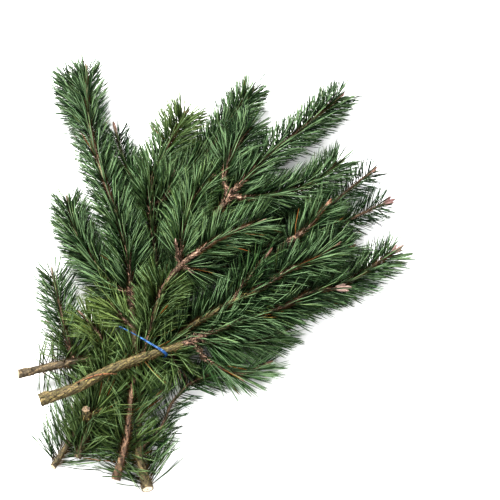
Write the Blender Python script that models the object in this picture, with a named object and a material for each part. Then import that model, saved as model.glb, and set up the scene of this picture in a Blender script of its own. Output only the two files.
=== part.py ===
"""A tied bundle of cut mountain pine branches, lying on the ground.

Seven branches, each split at its forks into a stem, a leader and side shoots. A shoot is one solid: its
twig, and the needles that grow from it as tiers of pointed tufts. The needles of neighbours give way to
each other, and those underneath are pressed flat by the ground. A loop of baling twine holds the stems.

The branches are laid out in centimetres from the middle of the tie: +Y runs along the bundle from the cut
ends to the tips, and Z is the height above the ground. At the end, the bundle is moved so that the
origin is on the ground under its middle. Everything else is in metres.
"""

import math
import random

import bpy
import numpy as np
from mathutils import Vector
from mathutils.bvhtree import BVHTree

CM = 0.01
MM = 0.001
NOTHING = 1e-6  # metres

# Needles, 55 mm long, that lean forward from their twig
NEEDLE_REACH = 42 * MM  # from the twig's axis out to the needle tips
NEEDLE_LEAN = 36 * MM  # how far a tip lies ahead of its root
TIER_PITCH = 40 * MM  # one tier of tufts to the next
TUFTS = 6  # pointed tufts round the twig in one tier
VALLEY = 0.76  # length of the needles between two tufts, as a share of the longest
NOTCH = 0.5  # reach of the dip between two tiers
END_LEAN = 46 * MM  # how far the last needles stand past the bud
END_REACH = 0.68
BUD = 10 * MM  # length of the bud at a shoot's end
TO_THE_END = 99  # centimetres, past the end of every shoot

# Wood
RING = 2 * TUFTS  # corners round a stem
BEND_STEP = 45 * MM  # spacing of the rings along a bare stem
SPAN_STEPS = 8  # straight steps of an axis between two of its points
SWELLING = 1.3  # how much wider the wood is at a fork
BELOW_FORK = 2.0  # centimetres, the length of the swelling
LEADER_GAP = 1.0 * MM  # a leader starts this far past the end of its stem
TWIG_GAP = 1.0 * MM  # a side shoot starts this far clear of the wood beside it

# Room between the pieces
TUFT_GAP = 1.0 * MM
WOOD_GAP = 2.5 * MM
LEAST_GAP = 0.3 * MM
WOOD_STEP = 5 * MM  # spacing of the places along an axis that stand for its wood
DRAW_STEP = 0.05  # a corner draws in by this share of its reach at a time
GIVE = 0.88  # how much a corner draws in each time its tuft touches a neighbour
GIVE_ROUNDS = 60
ON_WOOD = 0.999  # share of its reach at which a corner counts as lying on the wood

# Tie: flat baling twine, tight round the stems, with its knot at the lower right
TIE_PAD = 4 * MM  # needles squeezed between the stems and the twine
BULGE = (-39 * MM, 56 * MM, 8 * MM)  # more of them at the upper left: x, height and radius of the bulge
TIE_THICK = 2.4 * MM
TIE_BROAD = 4.5 * MM
TIE_STEPS = 28
KNOT_ANGLE = -0.9  # radians from +X, in the plane of the tie
KNOT = 4 * MM  # how much the knot adds to the twine
TAIL = 18 * MM  # the two cut ends of the twine, each to its own side of the knot
TAIL_OUT = 4 * MM
TAIL_DROP = 3 * MM
TAIL_THIN = 0.35  # a tail's end as a share of its root

# The middle of the bundle, from the middle of the tie
MIDDLE = (-64 * MM, 170 * MM)


class Shoot:
    """A stem, leader or side shoot: its axis, the radii of its wood in millimetres at distances in
    centimetres, and the stretches that bear needles."""

    def __init__(self, name, line, wood, needles, ends_in_bud=True, reach=1.0):
        self.name = name
        self.line = line
        self.wood = np.array(wood, float) * (CM, MM)
        self.reach = reach * NEEDLE_REACH
        self.length = length_of(line)
        self.stretches = [(a * CM, min(b * CM, self.length)) for a, b in needles]
        self.ends_in_bud = ends_in_bud

    def at(self, s):
        """The point of the axis s metres from its start, and the direction of growth there."""
        for a, b in zip(self.line, self.line[1:]):
            step = (b - a).length
            if s <= step or b is self.line[-1]:
                return a + (b - a) * (s / step), (b - a) / step
            s -= step

    def wood_at(self, s):
        return float(np.interp(s, self.wood[:, 0], self.wood[:, 1]))

    def has_needles(self, s):
        return any(a <= s <= b + NEEDLE_LEAN for a, b in self.stretches)


def smooth_line(points):
    """A curve through points in centimetres (Catmull-Rom), as short straight steps."""
    points = [Vector(p) * CM for p in points]
    ends = [points[0] * 2 - points[1], *points, points[-1] * 2 - points[-2]]
    line = []
    for p0, p1, p2, p3 in zip(ends, ends[1:], ends[2:], ends[3:]):
        for i in range(SPAN_STEPS):
            t = i / SPAN_STEPS
            bend = 2 * p0 - 5 * p1 + 4 * p2 - p3
            twist = 3 * p1 - p0 - 3 * p2 + p3
            line.append(0.5 * (2 * p1 + (p2 - p0) * t + bend * t ** 2 + twist * t ** 3))
    return line + [points[-1]]


def length_of(line):
    return sum((b - a).length for a, b in zip(line, line[1:]))


def past_start(line, gap):
    """The line without what lies within gap of its first point."""
    for i, (a, b) in enumerate(zip(line, line[1:])):
        near, far = (a - line[0]).length, (b - line[0]).length
        if far > gap:
            return [a + (b - a) * (gap - near) / (far - near), *line[i + 1:]]


def past_wood(line, radius, others):
    """The line from where a twig of this radius has come clear of the other shoots' wood."""
    for i, point in enumerate(line):
        if all((point - other.at(s)[0]).length > other.wood_at(s) + radius + TWIG_GAP
               for other in others for s in np.arange(0, other.length, 2 * MM)):
            return line[i:]


def branch(name, axis, fork, wood, stem_needles, leader_needles, sides, stem_reach=1.0):
    """The shoots of one branch. Its main axis is split at point number fork into the stem and the leader,
    and each side shoot (name, axis, wood, where its needles start, reach) comes out beside them."""
    line = smooth_line(axis)
    parted = fork * SPAN_STEPS
    *flare, below, above, end = wood
    stem = line[:parted + 1]
    at_fork = length_of(stem) / CM
    stem_wood = [*flare, (at_fork - BELOW_FORK, below), (at_fork, below * SWELLING)]
    leader = past_start(line[parted:], LEADER_GAP)
    leader_wood = [(0, above * SWELLING), (BELOW_FORK, above), (length_of(leader) / CM, end)]
    shoots = [
        Shoot(name + "_stem", stem, stem_wood, stem_needles, False, stem_reach),
        Shoot(name + "_leader", leader, leader_wood, [(leader_needles, TO_THE_END)]),
    ]
    for side, side_axis, (root, tip), side_needles, reach in sides:
        side_line = past_wood(smooth_line(side_axis), root * MM, shoots)
        side_wood = [(0, root), (length_of(side_line) / CM, tip)]
        stretches = [] if side_needles is None else [(side_needles, TO_THE_END)]
        shoots.append(Shoot(f"{name}_{side}", side_line, side_wood, stretches, reach=reach))
    return shoots


# The skeleton. An axis is a list of (x, y, height) in centimetres. Wood is radii in millimetres: at
# distances in centimetres from the cut, then below the fork and at the leader's two ends. Needles start
# at a distance in centimetres, and a side shoot with None bears none.
SHOOTS = [
    # The tall branch at the left, with the longest leader and a twin tip
    *branch("branch_1",
            [(12.1, -17.2, 1), (7.9, -13.3, 2.4), (4.7, -8, 3.8), (1.4, -3.7, 4.4), (-2.2, 0.6, 5.6),
             (-5.5, 5, 7.4), (-9.5, 10, 9), (-15.5, 15, 9.5), (-22.5, 20.5, 9), (-29.5, 27, 7),
             (-36.5, 35.5, 6)],
            5, [(0, 8.6), (1.5, 7.2), (5, 5.6), (9, 4.6), 4.2, 3, 1.8], [(0.5, 14)], 1.5, [
        ("left_shoot", [(-5.5, 5, 7.4), (-9, 5, 6.6), (-14.5, 7, 5.6), (-19.5, 9.5, 4.6), (-25, 14, 3.6)],
         (2.6, 1.8), 1.5, 1),
        ("short_shoot", [(-2.7, 1, 6.2), (-5, 1.5, 6.4), (-8, 2.6, 6), (-10.5, 4, 5.6)], (2.3, 1.8), 0.5, 1),
        ("twin_tip", [(-29, 26.5, 7), (-32, 28, 5), (-35.5, 30.5, 4), (-39.5, 34, 3.5)], (2.3, 1.8), 1, 1),
        ("low_shoot", [(7.9, -13.3, 2.4), (8.9, -9.5, 1.9), (8.1, -5, 1.9), (8.4, -1.3, 2), (6.9, 0.3, 2.3)],
         (2.5, 1.8), 1, 0.85),
        ("low_fork", [(8.4, -1.3, 2), (9.4, -0.1, 2.5), (11, 2.3, 2.7)], (2, 1.7), 0.5, 0.9),
    ], stem_reach=1.2),
    # The thick stem on top, with its leader to the right
    *branch("branch_2",
            [(-7.2, -15.6, 7.6), (-3.9, -11.4, 7.7), (-1.2, -6.5, 7.8), (2.5, -1.2, 7.2), (5.2, 2.1, 7.2),
             (6.7, 4.3, 7.3), (11, 10, 8.2), (15.5, 15.5, 8), (18.5, 20.5, 7.6), (22, 23.5, 7.2)],
            5, [(0, 9.8), (2, 8.8), (8, 8), (16, 6.6), 5, 3.6, 2.2], [], 2.5, [
        ("long_shoot", [(6.7, 4.3, 7.3), (10, 10.5, 5), (16.5, 18.8, 4.2), (21.4, 26, 3.8), (23.7, 30.4, 3.8),
                        (26, 35, 4)], (3, 2), 1, 1),
        ("under_shoot", [(6.7, 4.3, 7.3), (10.9, 6.8, 5.4), (14, 9.9, 3.6), (16.7, 13.8, 2.8)],
         (2.6, 1.8), 1, 1),
        ("low_shoot", [(6.7, 4.3, 7.3), (7.4, 3.6, 6.2), (8.9, 3.1, 5), (10.8, 3.2, 4.2), (12.9, 3.5, 3.6),
                       (15, 4.5, 3.2), (17.1, 7.7, 3)], (3, 1.8), 3, 1),
    ]),
    # Under the others, with shoots at the right and two at the far left
    *branch("branch_3",
            [(-13.8, -13.7, 3.6), (-8, -7.5, 2.8), (-3.3, -3.6, 1.8), (0.3, 0, 1.5), (5, 8, 2.4),
             (8.5, 16, 4.4), (10, 24.5, 6.4), (11.5, 29, 7), (12, 34.5, 6.8)],
            6, [(0, 6.8), (2, 6), 4, 3.4, 2], [(3, 14), (21, 40)], 2.5, [
        ("inner_shoot", [(8.5, 16, 4.4), (7.6, 20, 3.2), (6.9, 25, 2.8), (6, 29.5, 2.6), (6.2, 33, 2.6)],
         (2.4, 1.8), 1, 1),
        ("upper_shoot", [(10, 24.5, 6.4), (10.3, 29, 4.6), (12, 34.5, 4), (13, 39.5, 3.8), (14.7, 45.5, 3.4)],
         (2.6, 1.8), 1.5, 1),
        ("lower_shoot", [(10, 24.5, 6.4), (13, 29, 4.8), (15.2, 34, 3.8), (17.4, 38, 3.6), (19.5, 41.5, 3.4)],
         (2.6, 1.8), 1.5, 1),
        ("left_shoot", [(-8, -7.5, 2.8), (-10.2, -5.8, 3.6), (-12.6, -3.7, 4), (-16, -0.7, 3.8),
                        (-19.4, 2.4, 3.4)], (2.6, 2), 1, 0.95),
        ("short_shoot", [(-5, -5, 2.4), (-5.4, -3.1, 4.2), (-7.6, -2, 5), (-10.6, -1.2, 5)],
         (2.3, 1.8), 0.5, 1),
    ]),
    # Through the middle to the fork of three at the far side
    *branch("branch_4",
            [(-1.6, -22, 1.2), (-1.7, -14, 1.6), (-1.2, -5, 2.7), (-0.7, 0, 3.4), (-1.2, 7, 5),
             (-0.7, 15.5, 7.8), (-1.3, 22.5, 9), (-1.5, 26.5, 9.2), (-3.4, 28.1, 9.4), (-4.7, 30.8, 9.1),
             (-5.3, 33.8, 8.7), (-5.6, 37, 8.2), (-5.9, 40.3, 7.6)],
            7, [(0, 4.8), (2, 4), 4.2, 3.6, 2], [(0.5, 17), (23, 47)], 2.5, [
        ("right_shoot", [(-1.5, 26.5, 9.2), (-1.2, 31, 8), (-0.8, 38, 6.2), (0.9, 45, 5), (3, 55, 4.2)],
         (3.2, 1.8), 2, 1),
        ("side_shoot", [(-1.5, 26.5, 9.2), (1.4, 28.2, 8.4), (5, 32, 7.6), (8, 36.5, 6.6), (9.7, 43, 5.6)],
         (2.8, 1.8), 1.5, 1),
        ("under_shoot", [(-1.5, 26.5, 9.2), (-1.3, 27.6, 6.8), (-2.6, 30.4, 4.6), (-3.4, 34.5, 3.8)],
         (2.6, 1.8), 0.5, 1),
        ("low_shoot", [(-1.3, 22.5, 9), (-2.8, 24, 6.6), (-4.6, 27.2, 4.6), (-6.6, 31, 3.8)],
         (2.4, 1.8), 0.5, 1),
    ], stem_reach=1.15),
    # The reddish stem, with the leader that lies on top in the middle
    *branch("branch_5",
            [(7.4, -18.6, 1.2), (5.9, -13.5, 3.4), (3.9, -9.2, 4.9), (2, -5.3, 5.6), (0.7, -0.5, 5.8),
             (-0.4, 3.2, 6.8), (-1.3, 7.5, 9.4), (-0.7, 11.6, 11.2), (0.6, 15.2, 11.6), (2.5, 19.5, 11.6),
             (5.7, 25, 10.6)],
            7, [(0, 6.8), (2, 6), (6, 4.2), (12, 3.2), 3.2, 3, 1.8], [(1.5, 14), (21, 29)], 3, [
        ("left_shoot", [(-0.7, 11.6, 11.2), (-4, 17.5, 10.6), (-5.8, 23, 9.8), (-5.6, 28, 9)],
         (2.6, 1.8), 1, 1),
        ("right_shoot", [(-0.7, 11.6, 11.2), (1.3, 13.5, 9.2), (3.5, 15.5, 8), (5.7, 18.4, 7.2),
                         (7.4, 21.2, 6.8)], (2.4, 1.8), 1, 1),
        ("dead_twig", [(-0.7, 11.6, 11.2), (-1.7, 12.8, 12.2), (-2.8, 14, 12.8)], (1.8, 1.4), None, 1),
        ("bud_twig", [(-0.7, 11.6, 11.2), (0, 11.9, 10.9), (0.9, 12.1, 10.4)], (1.6, 1.4), None, 1),
    ]),
    # Cut short, and rising to the right
    *branch("branch_6",
            [(-0.8, -13.1, 7.5), (-0.4, -13.7, 5.6), (0.3, -11, 4.1), (0.6, -7.5, 3.1), (0.8, -4, 2.6),
             (2.2, 0, 3.4), (5, 6, 6.6), (8.6, 11.6, 9), (11.6, 16.6, 9.8), (13.2, 20, 10), (15.2, 23.5, 9.4),
             (17, 28.5, 8)],
            8, [(0, 5.6), (2, 5), 3.4, 2.6, 1.8], [(1, 11), (16, 34)], 1.5, [
        ("side_shoot", [(11.6, 16.6, 9.8), (12, 21, 7.2), (15.2, 25.5, 5.2), (18.5, 31, 4.2)],
         (2.6, 1.8), 1, 1),
        ("left_shoot", [(8.6, 11.6, 9), (8.6, 14.4, 9.7), (8.9, 17.4, 9.9), (9.1, 20.5, 9.7)],
         (2.2, 1.7), 1.5, 1),
        ("tie_shoot", [(2.8, 1.2, 4), (4.4, 0.9, 4), (5.8, 0.2, 3.6), (6.6, -0.4, 3.2)], (2, 1.7), 0.8, 1),
    ]),
    # Underneath, with the shoots at the far left
    *branch("branch_7",
            [(0.8, -19, 1.6), (-0.4, -12.5, 3.2), (-2.2, -6, 3.6), (-2.7, 0, 3.7), (-4.5, 9.6, 5),
             (-12.5, 20, 5), (-15.4, 25.6, 5.2), (-16.2, 31.2, 5.6), (-17.2, 37.5, 5.4)],
            5, [(0, 5.4), (2, 4.6), 4, 2.8, 1.8], [(0.5, 13), (22, 38)], 0.5, [
        ("right_shoot", [(-12.5, 20, 5), (-11.3, 27, 4.2), (-10.5, 36, 3.8), (-10.8, 48, 3.6)],
         (2.8, 1.8), 1, 1),
        ("left_shoot", [(-12.5, 20, 5), (-17.5, 22.5, 3.2), (-22, 25.5, 2.8), (-26.5, 29.5, 2.8)],
         (2.4, 1.8), 1, 0.95),
        ("top_shoot", [(-12.5, 20, 5), (-10.5, 21.5, 7.2), (-11.3, 25, 8)], (2.6, 1.8), 0.5, 1),
    ]),
]


def around(centre, forward, reach, lean, shares):
    """Corners round a point of an axis: out by reach and ahead by lean, times each corner's own share."""
    side = forward.cross(Vector((0, 0, 1))).normalized()
    up = side.cross(forward)
    corners = []
    for i, share in enumerate(shares):
        angle = 2 * math.pi * i / len(shares)
        out = side * math.cos(angle) + up * math.sin(angle)
        corners.append(centre + (forward * lean + out * reach) * share)
    return corners


class Rings:
    """The corners of a shoot's solid, ring after ring from its base to its end."""

    def __init__(self, shoot):
        self.shoot = shoot
        self.roots = []
        self.corners = []
        self.least = []
        chance = random.Random(shoot.name)
        s = 0.0
        self.add_wood(0.0)
        for start, end in shoot.stretches:
            self.add_bare(s, start)
            tiers = max(1, round((end - start) / TIER_PITCH))
            pitch = (end - start) / tiers
            for tier in range(tiers):
                last = tier == tiers - 1 and end >= shoot.length - NOTHING and shoot.ends_in_bud
                self.add_tier(start + tier * pitch, tier, last, chance)
                s = start + (tier + 1) * pitch
                if tier < tiers - 1:
                    self.add_ring(s, NOTCH * shoot.reach, 0.0)
            if not last:
                s = min(s + 2 * MM, shoot.length)
                self.add_wood(s)
        if s < shoot.length - NOTHING:
            self.add_bare(s, shoot.length)
        self.bud = None
        if shoot.ends_in_bud:
            tip, forward = shoot.at(shoot.length)
            self.bud = tip + forward * BUD

    def add_ring(self, s, reach, lean, shares=(1.0,) * RING):
        centre, forward = self.shoot.at(s)
        least = self.shoot.wood_at(s) + LEAST_GAP
        self.roots += [centre] * RING
        self.corners += around(centre, forward, reach, lean, shares)
        self.least += [min(1.0, least / (reach * share)) for share in shares]

    def add_wood(self, s):
        self.add_ring(s, self.shoot.wood_at(s), 0.0)

    def add_bare(self, s, end):
        """Rings of bare wood after s, up to and with end."""
        steps = max(1, math.ceil((end - s) / BEND_STEP))
        for step in range(steps):
            self.add_wood(s + (end - s) * (step + 1) / steps)

    def add_tier(self, s, tier, last, chance):
        """One tier of tufts: tips and dips in turn, shifted by one corner from tier to tier."""
        reach = self.shoot.reach * (END_REACH if last else 1.0)
        lean = END_LEAN if last else NEEDLE_LEAN
        shares = []
        for i in range(RING):
            share = VALLEY if (i + tier) % 2 else 1.0
            shares.append(share * chance.uniform(0.92, 1.06))
        self.add_ring(s, reach, lean, shares)

    def draw_in(self, i, share):
        """Bring corner i nearer to its root. False where it already lies on the wood."""
        root, corner = self.roots[i], self.corners[i]
        if self.least[i] > ON_WOOD:
            return False
        self.corners[i] = root + (corner - root) * max(share, self.least[i])
        self.least[i] = min(1.0, self.least[i] / max(share, self.least[i]))
        return True

    def faces(self):
        """Four-cornered faces between rings, a cap at the base, and a cap or the bud at the end."""
        rings = len(self.corners) // RING
        made = [tuple(range(RING))]
        for r in range(rings - 1):
            for i in range(RING):
                j = (i + 1) % RING
                low, high = r * RING, (r + 1) * RING
                made.append((low + i, high + j, low + j))
                made.append((low + i, high + i, high + j))
        last = (rings - 1) * RING
        if self.bud is None:
            made.append(tuple(reversed(range(last, last + RING))))
        else:
            made += [(last + i, rings * RING, last + (i + 1) % RING) for i in range(RING)]
        return made

    def points(self):
        return self.corners + ([self.bud] if self.bud else [])

    def tree(self):
        return BVHTree.FromPolygons(self.points(), self.faces(), epsilon=LEAST_GAP)


def keep_apart(all_rings):
    """Draw each tuft in to where its own twig is the nearest, and clear of all wood."""
    places, wood, owners, needled = [], [], [], []
    for k, rings in enumerate(all_rings):
        shoot = rings.shoot
        for step in range(int(shoot.length / WOOD_STEP) + 1):
            s = step * WOOD_STEP
            places.append(shoot.at(s)[0])
            wood.append(shoot.wood_at(s))
            owners.append(k)
            needled.append(shoot.has_needles(s))
    places, wood, owners, needled = map(np.array, (places, wood, owners, needled))
    for k, rings in enumerate(all_rings):
        mine = owners == k
        for i, (root, corner) in enumerate(zip(rings.roots, rings.corners)):
            if rings.least[i] > ON_WOOD:
                continue
            share = 1.0
            while share > rings.least[i]:
                point = np.array(root + (corner - root) * share)
                apart = np.linalg.norm(places - point, axis=1)
                own = apart[mine].min()
                clear = apart[~mine] > wood[~mine] + WOOD_GAP
                nearer = (apart[~mine] > own + TUFT_GAP) | ~needled[~mine]
                if clear.all() and nearer.all():
                    break
                share -= DRAW_STEP
            rings.draw_in(i, share)
            rings.corners[i].z = max(rings.corners[i].z, 0.0)


def give_way(all_rings, fixed):
    """Draw in the corners of tufts that touch a neighbour or the tie, until none do."""
    trees = [rings.tree() for rings in all_rings]
    faces = [rings.faces() for rings in all_rings]
    for _ in range(GIVE_ROUNDS):
        touched = [set() for _ in all_rings]
        for a, rings in enumerate(all_rings):
            for b in range(a + 1, len(all_rings)):
                for fa, fb in trees[a].overlap(trees[b]):
                    touched[a].update(faces[a][fa])
                    touched[b].update(faces[b][fb])
            for fa, _ in trees[a].overlap(fixed):
                touched[a].update(faces[a][fa])
        if not any(touched):
            return
        for k, rings in enumerate(all_rings):
            moved = [rings.draw_in(i, GIVE) for i in touched[k] if i < len(rings.corners)]
            if any(moved):
                trees[k] = rings.tree()


def material(name, colour, roughness):
    made = bpy.data.materials.new(name)
    made.use_nodes = True
    surface = made.node_tree.nodes["Principled BSDF"]
    surface.inputs["Base Color"].default_value = (*colour, 1)
    surface.inputs["Roughness"].default_value = roughness
    surface.inputs["Metallic"].default_value = 0.0
    return made


def piece(name, points, faces, finish, parent):
    mesh = bpy.data.meshes.new(name)
    mesh.from_pydata([tuple(p) for p in points], [], faces)
    mesh.materials.append(finish)
    made = bpy.data.objects.new(name, mesh)
    made.parent = parent
    bpy.context.scene.collection.objects.link(made)


def stems_in_tie():
    """Where each stem passes the plane of the tie: x, height, and radius with the needles squeezed on it."""
    found = [BULGE]
    for shoot in SHOOTS:
        s = 0.0
        for a, b in zip(shoot.line, shoot.line[1:]):
            s += (b - a).length
            if a.y < 0 <= b.y and shoot.name.endswith("stem"):
                middle = a + (b - a) * (-a.y / (b.y - a.y))
                found.append((middle.x, middle.z, shoot.wood_at(s) + TIE_PAD))
    return found


def tie_solid():
    """The twine: a flat band tight round all stems in the plane y = 0, thick at the knot, with two tails."""
    stems = stems_in_tie()
    points = []
    for step in range(TIE_STEPS):
        angle = KNOT_ANGLE + 2 * math.pi * step / TIE_STEPS
        nx, nz = math.cos(angle), math.sin(angle)
        x, z, radius = max(stems, key=lambda stem: stem[0] * nx + stem[1] * nz + stem[2])
        more = KNOT if step in (0, 1) else 0.0
        for inside, y in ((0, -1), (1, -1), (1, 1), (0, 1)):
            out = radius + inside * (TIE_THICK + more)
            points.append(Vector((x + nx * out, y * (TIE_BROAD + more) / 2, z + nz * out)))
    faces = []
    for step in range(TIE_STEPS):
        here, there = step * 4, (step + 1) % TIE_STEPS * 4
        faces += [(here + i, here + (i + 1) % 4, there + (i + 1) % 4, there + i) for i in range(4)]
    for side, across in ((0, -1), (2, 1)):
        tail_from = faces.pop(faces.index(tuple(face_of_knot(side))))
        end = [points[i] + Vector((TAIL_OUT, across * TAIL, -TAIL_DROP)) for i in tail_from]
        middle = sum(end, Vector()) / 4
        first = len(points)
        points += [middle + (corner - middle) * TAIL_THIN for corner in end]
        faces.append(tuple(first + i for i in range(4)))
        for i in range(4):
            j = (i + 1) % 4
            faces.append((tail_from[i], tail_from[j], first + j, first + i))
    return points, faces


def face_of_knot(side):
    """The face of the knot on this side of the band."""
    return side, (side + 1) % 4, 4 + (side + 1) % 4, 4 + side


def main():
    for old in list(bpy.data.objects):
        bpy.data.objects.remove(old)
    all_rings = [Rings(shoot) for shoot in SHOOTS]
    tie_points, tie_faces = tie_solid()
    keep_apart(all_rings)
    give_way(all_rings, BVHTree.FromPolygons(tie_points, tie_faces, epsilon=LEAST_GAP))
    needles = material("needles", (0.05, 0.13, 0.05), 0.5)
    bark = material("bark", (0.22, 0.14, 0.07), 0.8)
    twine = material("twine", (0.03, 0.16, 0.75), 0.35)
    bundle = bpy.data.objects.new("bundle", None)
    bpy.context.scene.collection.objects.link(bundle)
    bundle.location = (-MIDDLE[0], -MIDDLE[1], 0)
    for rings in all_rings:
        finish = needles if rings.shoot.stretches else bark
        piece(rings.shoot.name, rings.points(), rings.faces(), finish, bundle)
    piece("tie", tie_points, tie_faces, twine, bundle)


main()
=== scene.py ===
"""The looks of a tied bundle of cut mountain pine branches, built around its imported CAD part.

Each branch is two pieces: its wood, with leaf bases, bract scales, buds and sawn ends, and its needles.
The branches are laid out as in the part: in centimetres from the middle of the tie, +Y along the bundle
from the cut ends to the tips, and Z above the ground. A loop of baling twine holds the stems.
"""

import math

import bpy
import numpy as np
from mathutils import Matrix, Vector
from mathutils.kdtree import KDTree


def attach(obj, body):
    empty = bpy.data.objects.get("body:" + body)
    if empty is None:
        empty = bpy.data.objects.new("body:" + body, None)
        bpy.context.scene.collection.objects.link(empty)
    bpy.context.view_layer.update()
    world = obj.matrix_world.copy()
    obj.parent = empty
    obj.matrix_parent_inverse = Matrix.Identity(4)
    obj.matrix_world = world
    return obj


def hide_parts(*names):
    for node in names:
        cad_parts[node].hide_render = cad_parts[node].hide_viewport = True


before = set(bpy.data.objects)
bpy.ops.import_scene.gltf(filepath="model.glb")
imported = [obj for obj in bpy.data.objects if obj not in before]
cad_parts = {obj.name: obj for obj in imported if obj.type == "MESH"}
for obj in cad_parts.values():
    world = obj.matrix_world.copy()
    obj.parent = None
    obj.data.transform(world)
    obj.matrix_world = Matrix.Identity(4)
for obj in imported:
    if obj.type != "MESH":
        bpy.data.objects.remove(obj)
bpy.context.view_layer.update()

CM = 0.01
MM = 0.001
DEGREE = math.pi / 180
TURN = 2 * math.pi
MIDDLE = np.array([-64 * MM, 170 * MM, 0])  # the part's origin, from the middle of the tie
UP = np.array([0.0, 0.0, 1.0])
GOLDEN = 137.508 * DEGREE  # from one needle pair or scale to the next, round the twig
SPAN = 24  # steps of an axis between two of its points
GROUND_GAP = 0.3 * MM  # scales, buds and twine stay this far above the ground
chance = np.random.default_rng(11)

# Needles
NEEDLE_WIDE = 1.4 * MM
NEEDLE_THICK = 1.0 * MM
NEEDLE_RINGS = (0.0, 0.42, 0.86)  # where its rings of three corners lie along a needle
NEEDLE_GIRTH = (0.85, 1.0, 0.7)
ASIDE = 0.36  # how much the needles part to the two sides of their twig
CLEAR = 0.9 * MM  # needles keep this far from the ground and from bark
TONES = 8  # needles come in this many shades
AGES = 8  # and in this many ages, the last of them dead

# Styles of needles: pairs per cm, length in mm, angle to the twig, how much it varies and how far they
# bend towards the twig's tip in degrees, the share kept of those on top, age from 0, fresh, to 1, yellow,
# darkest and lightest shade, and the share of dead ones
STYLES = {
    "fresh": (23, 50, 50, 6, 16, 1.0, 0.06, 0.0, 1.0, 0.001),
    "dense": (28, 50, 50, 6, 16, 1.0, 0.10, 0.0, 1.0, 0.001),
    "bright": (26, 50, 50, 6, 16, 1.0, 0.16, 0.1, 1.0, 0.001),
    # pale keeps to light tones, as does combed: painted light on the shoots under branch_2's leader, which lie
    # in its shade
    "pale": (25, 48, 46, 6, 16, 1.0, 0.06, 0.6, 1.0, 0.001),
    "slim": (22, 48, 45, 7, 14, 0.55, 0.08, 0.0, 1.0, 0.002),
    "golden": (28, 54, 58, 8, 16, 1.0, 0.40, 0.1, 1.0, 0.003),
    # dark and shade keep to dark tones: painted shade on shoots that lie under or in among the others
    "dark": (10, 40, 54, 6, 16, 1.0, 0.0, 0.0, 0.5, 0.002),
    "shade": (20, 46, 52, 7, 16, 1.0, 0.04, 0.0, 0.7, 0.002),
    "combed": (14, 52, 28, 7, 10, 0.3, 0.06, 0.7, 1.0, 0.004),
    "inner": (28, 52, 58, 12, 18, 1.0, 0.38, 0.0, 1.0, 0.010),
    "stub": (17, 56, 56, 15, 16, 0.45, 0.30, 0.1, 1.0, 0.010),
    "parted": (16, 56, 52, 12, 18, 0.12, 0.32, 0.1, 1.0, 0.010),
    "aside": (25, 52, 50, 6, 16, 0.5, 0.08, 0.0, 1.0, 0.002),
    "sparse": (16, 70, 60, 12, 14, 0.1, 0.20, 0.1, 1.0, 0.006),
    "wild": (13, 52, 84, 18, 10, 0.12, 0.38, 0.1, 1.0, 0.016),
    "faint": (14, 48, 50, 8, 14, 1.0, 0.12, 0.15, 0.95, 0.002),
    # thin keeps to darker tones too: painted shade on the low shoot near the ground
    "thin": (7, 38, 56, 12, 16, 1.0, 0.04, 0.0, 0.6, 0.010),
    "yellow": (26, 46, 50, 8, 18, 1.0, 0.60, 0.3, 1.0, 0.004),
    "dry": (6, 34, 22, 8, 6, 1.0, 1.0, 0.7, 1.0, 0.45),
}

# Wood
LEAF_BASE = 4.8 * MM  # width of one leaf base on a stem
LEAF_LONG = 3.2  # its length, in widths
BELOW_FORK = 22 * MM  # the stem's bark gives way to a twig's this far below the fork
LEADER = {"cell": 5.5 * MM, "around": 4, "depth": 1.0 * MM, "corners": 14, "step": 1.8 * MM}
SIDE_SHOOT = {"cell": 5.5 * MM, "around": 4, "depth": 0.9 * MM, "corners": 12, "step": 1.9 * MM}
END_RINGS = (1.0, 0.9, 0.55, 0.2)  # rings of corners on an end, from its rim inwards
BUD_PROFILE = np.array([0.70, 0.88, 0.98, 1.0, 1.0, 0.99, 0.98, 0.96, 0.93, 0.88, 0.80, 0.66, 0.44, 0.12])
BUD_SCALE = 2.4  # length in mm of a scale, of which a bud has so many rows
BUD_ROWS = 7
IN_BARK, IN_BUD, IN_CUT = range(3)  # the materials of a piece of wood

# The map of a piece of wood: tubes side by side, and at the right its
TUBES_WIDE = 0.86
END_SPOT = np.array([0.93, 0.07])  # ends,
END_SIZE = 0.06
SCALE_SPOT = np.array([0.88, 0.16])  # bract scales
BUD_SPOT = (0.88, 0.30, 0.99, 0.55)  # and buds

# Bark and bud colours: of leaf bases or bud scales, and of the grooves between them. On bark the groove colour
# is near black: partly the grooves' own darker brown, partly painted shade
OLIVE = ((0.150, 0.128, 0.042), (0.014, 0.010, 0.004))
MOSSY = ((0.125, 0.112, 0.046), (0.018, 0.012, 0.006))
REDDISH = ((0.240, 0.146, 0.096), (0.026, 0.013, 0.009))
GREYISH = ((0.120, 0.097, 0.058), (0.018, 0.012, 0.007))
DARK = ((0.088, 0.080, 0.038), (0.014, 0.010, 0.006))
TWIG = ((0.210, 0.138, 0.092), (0.024, 0.013, 0.009))
BUD = ((0.165, 0.085, 0.056), (0.050, 0.022, 0.014))
TAN_BUD = ((0.290, 0.165, 0.100), (0.100, 0.048, 0.028))
PALE_BUD = ((0.270, 0.190, 0.160), (0.120, 0.072, 0.060))
PURPLE_BUD = ((0.200, 0.112, 0.105), (0.070, 0.030, 0.028))
SCALE = (0.250, 0.162, 0.122)
TORN = (0.250, 0.110, 0.050)
WORN = (0.240, 0.165, 0.088)  # where the bark is worn
PLAIN_END = (0.20, 0.14, 0.08)


def smooth(x, low, high):
    x = np.clip((x - low) / (high - low), 0, 1)
    return x * x * (3 - 2 * x)


def unit(v):
    return v / np.maximum(np.linalg.norm(v, axis=-1, keepdims=True), 1e-12)


def lift(points, gap):
    """Raises points that are lower than a gap above the ground."""
    points[..., 2] = np.maximum(points[..., 2], gap)


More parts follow.
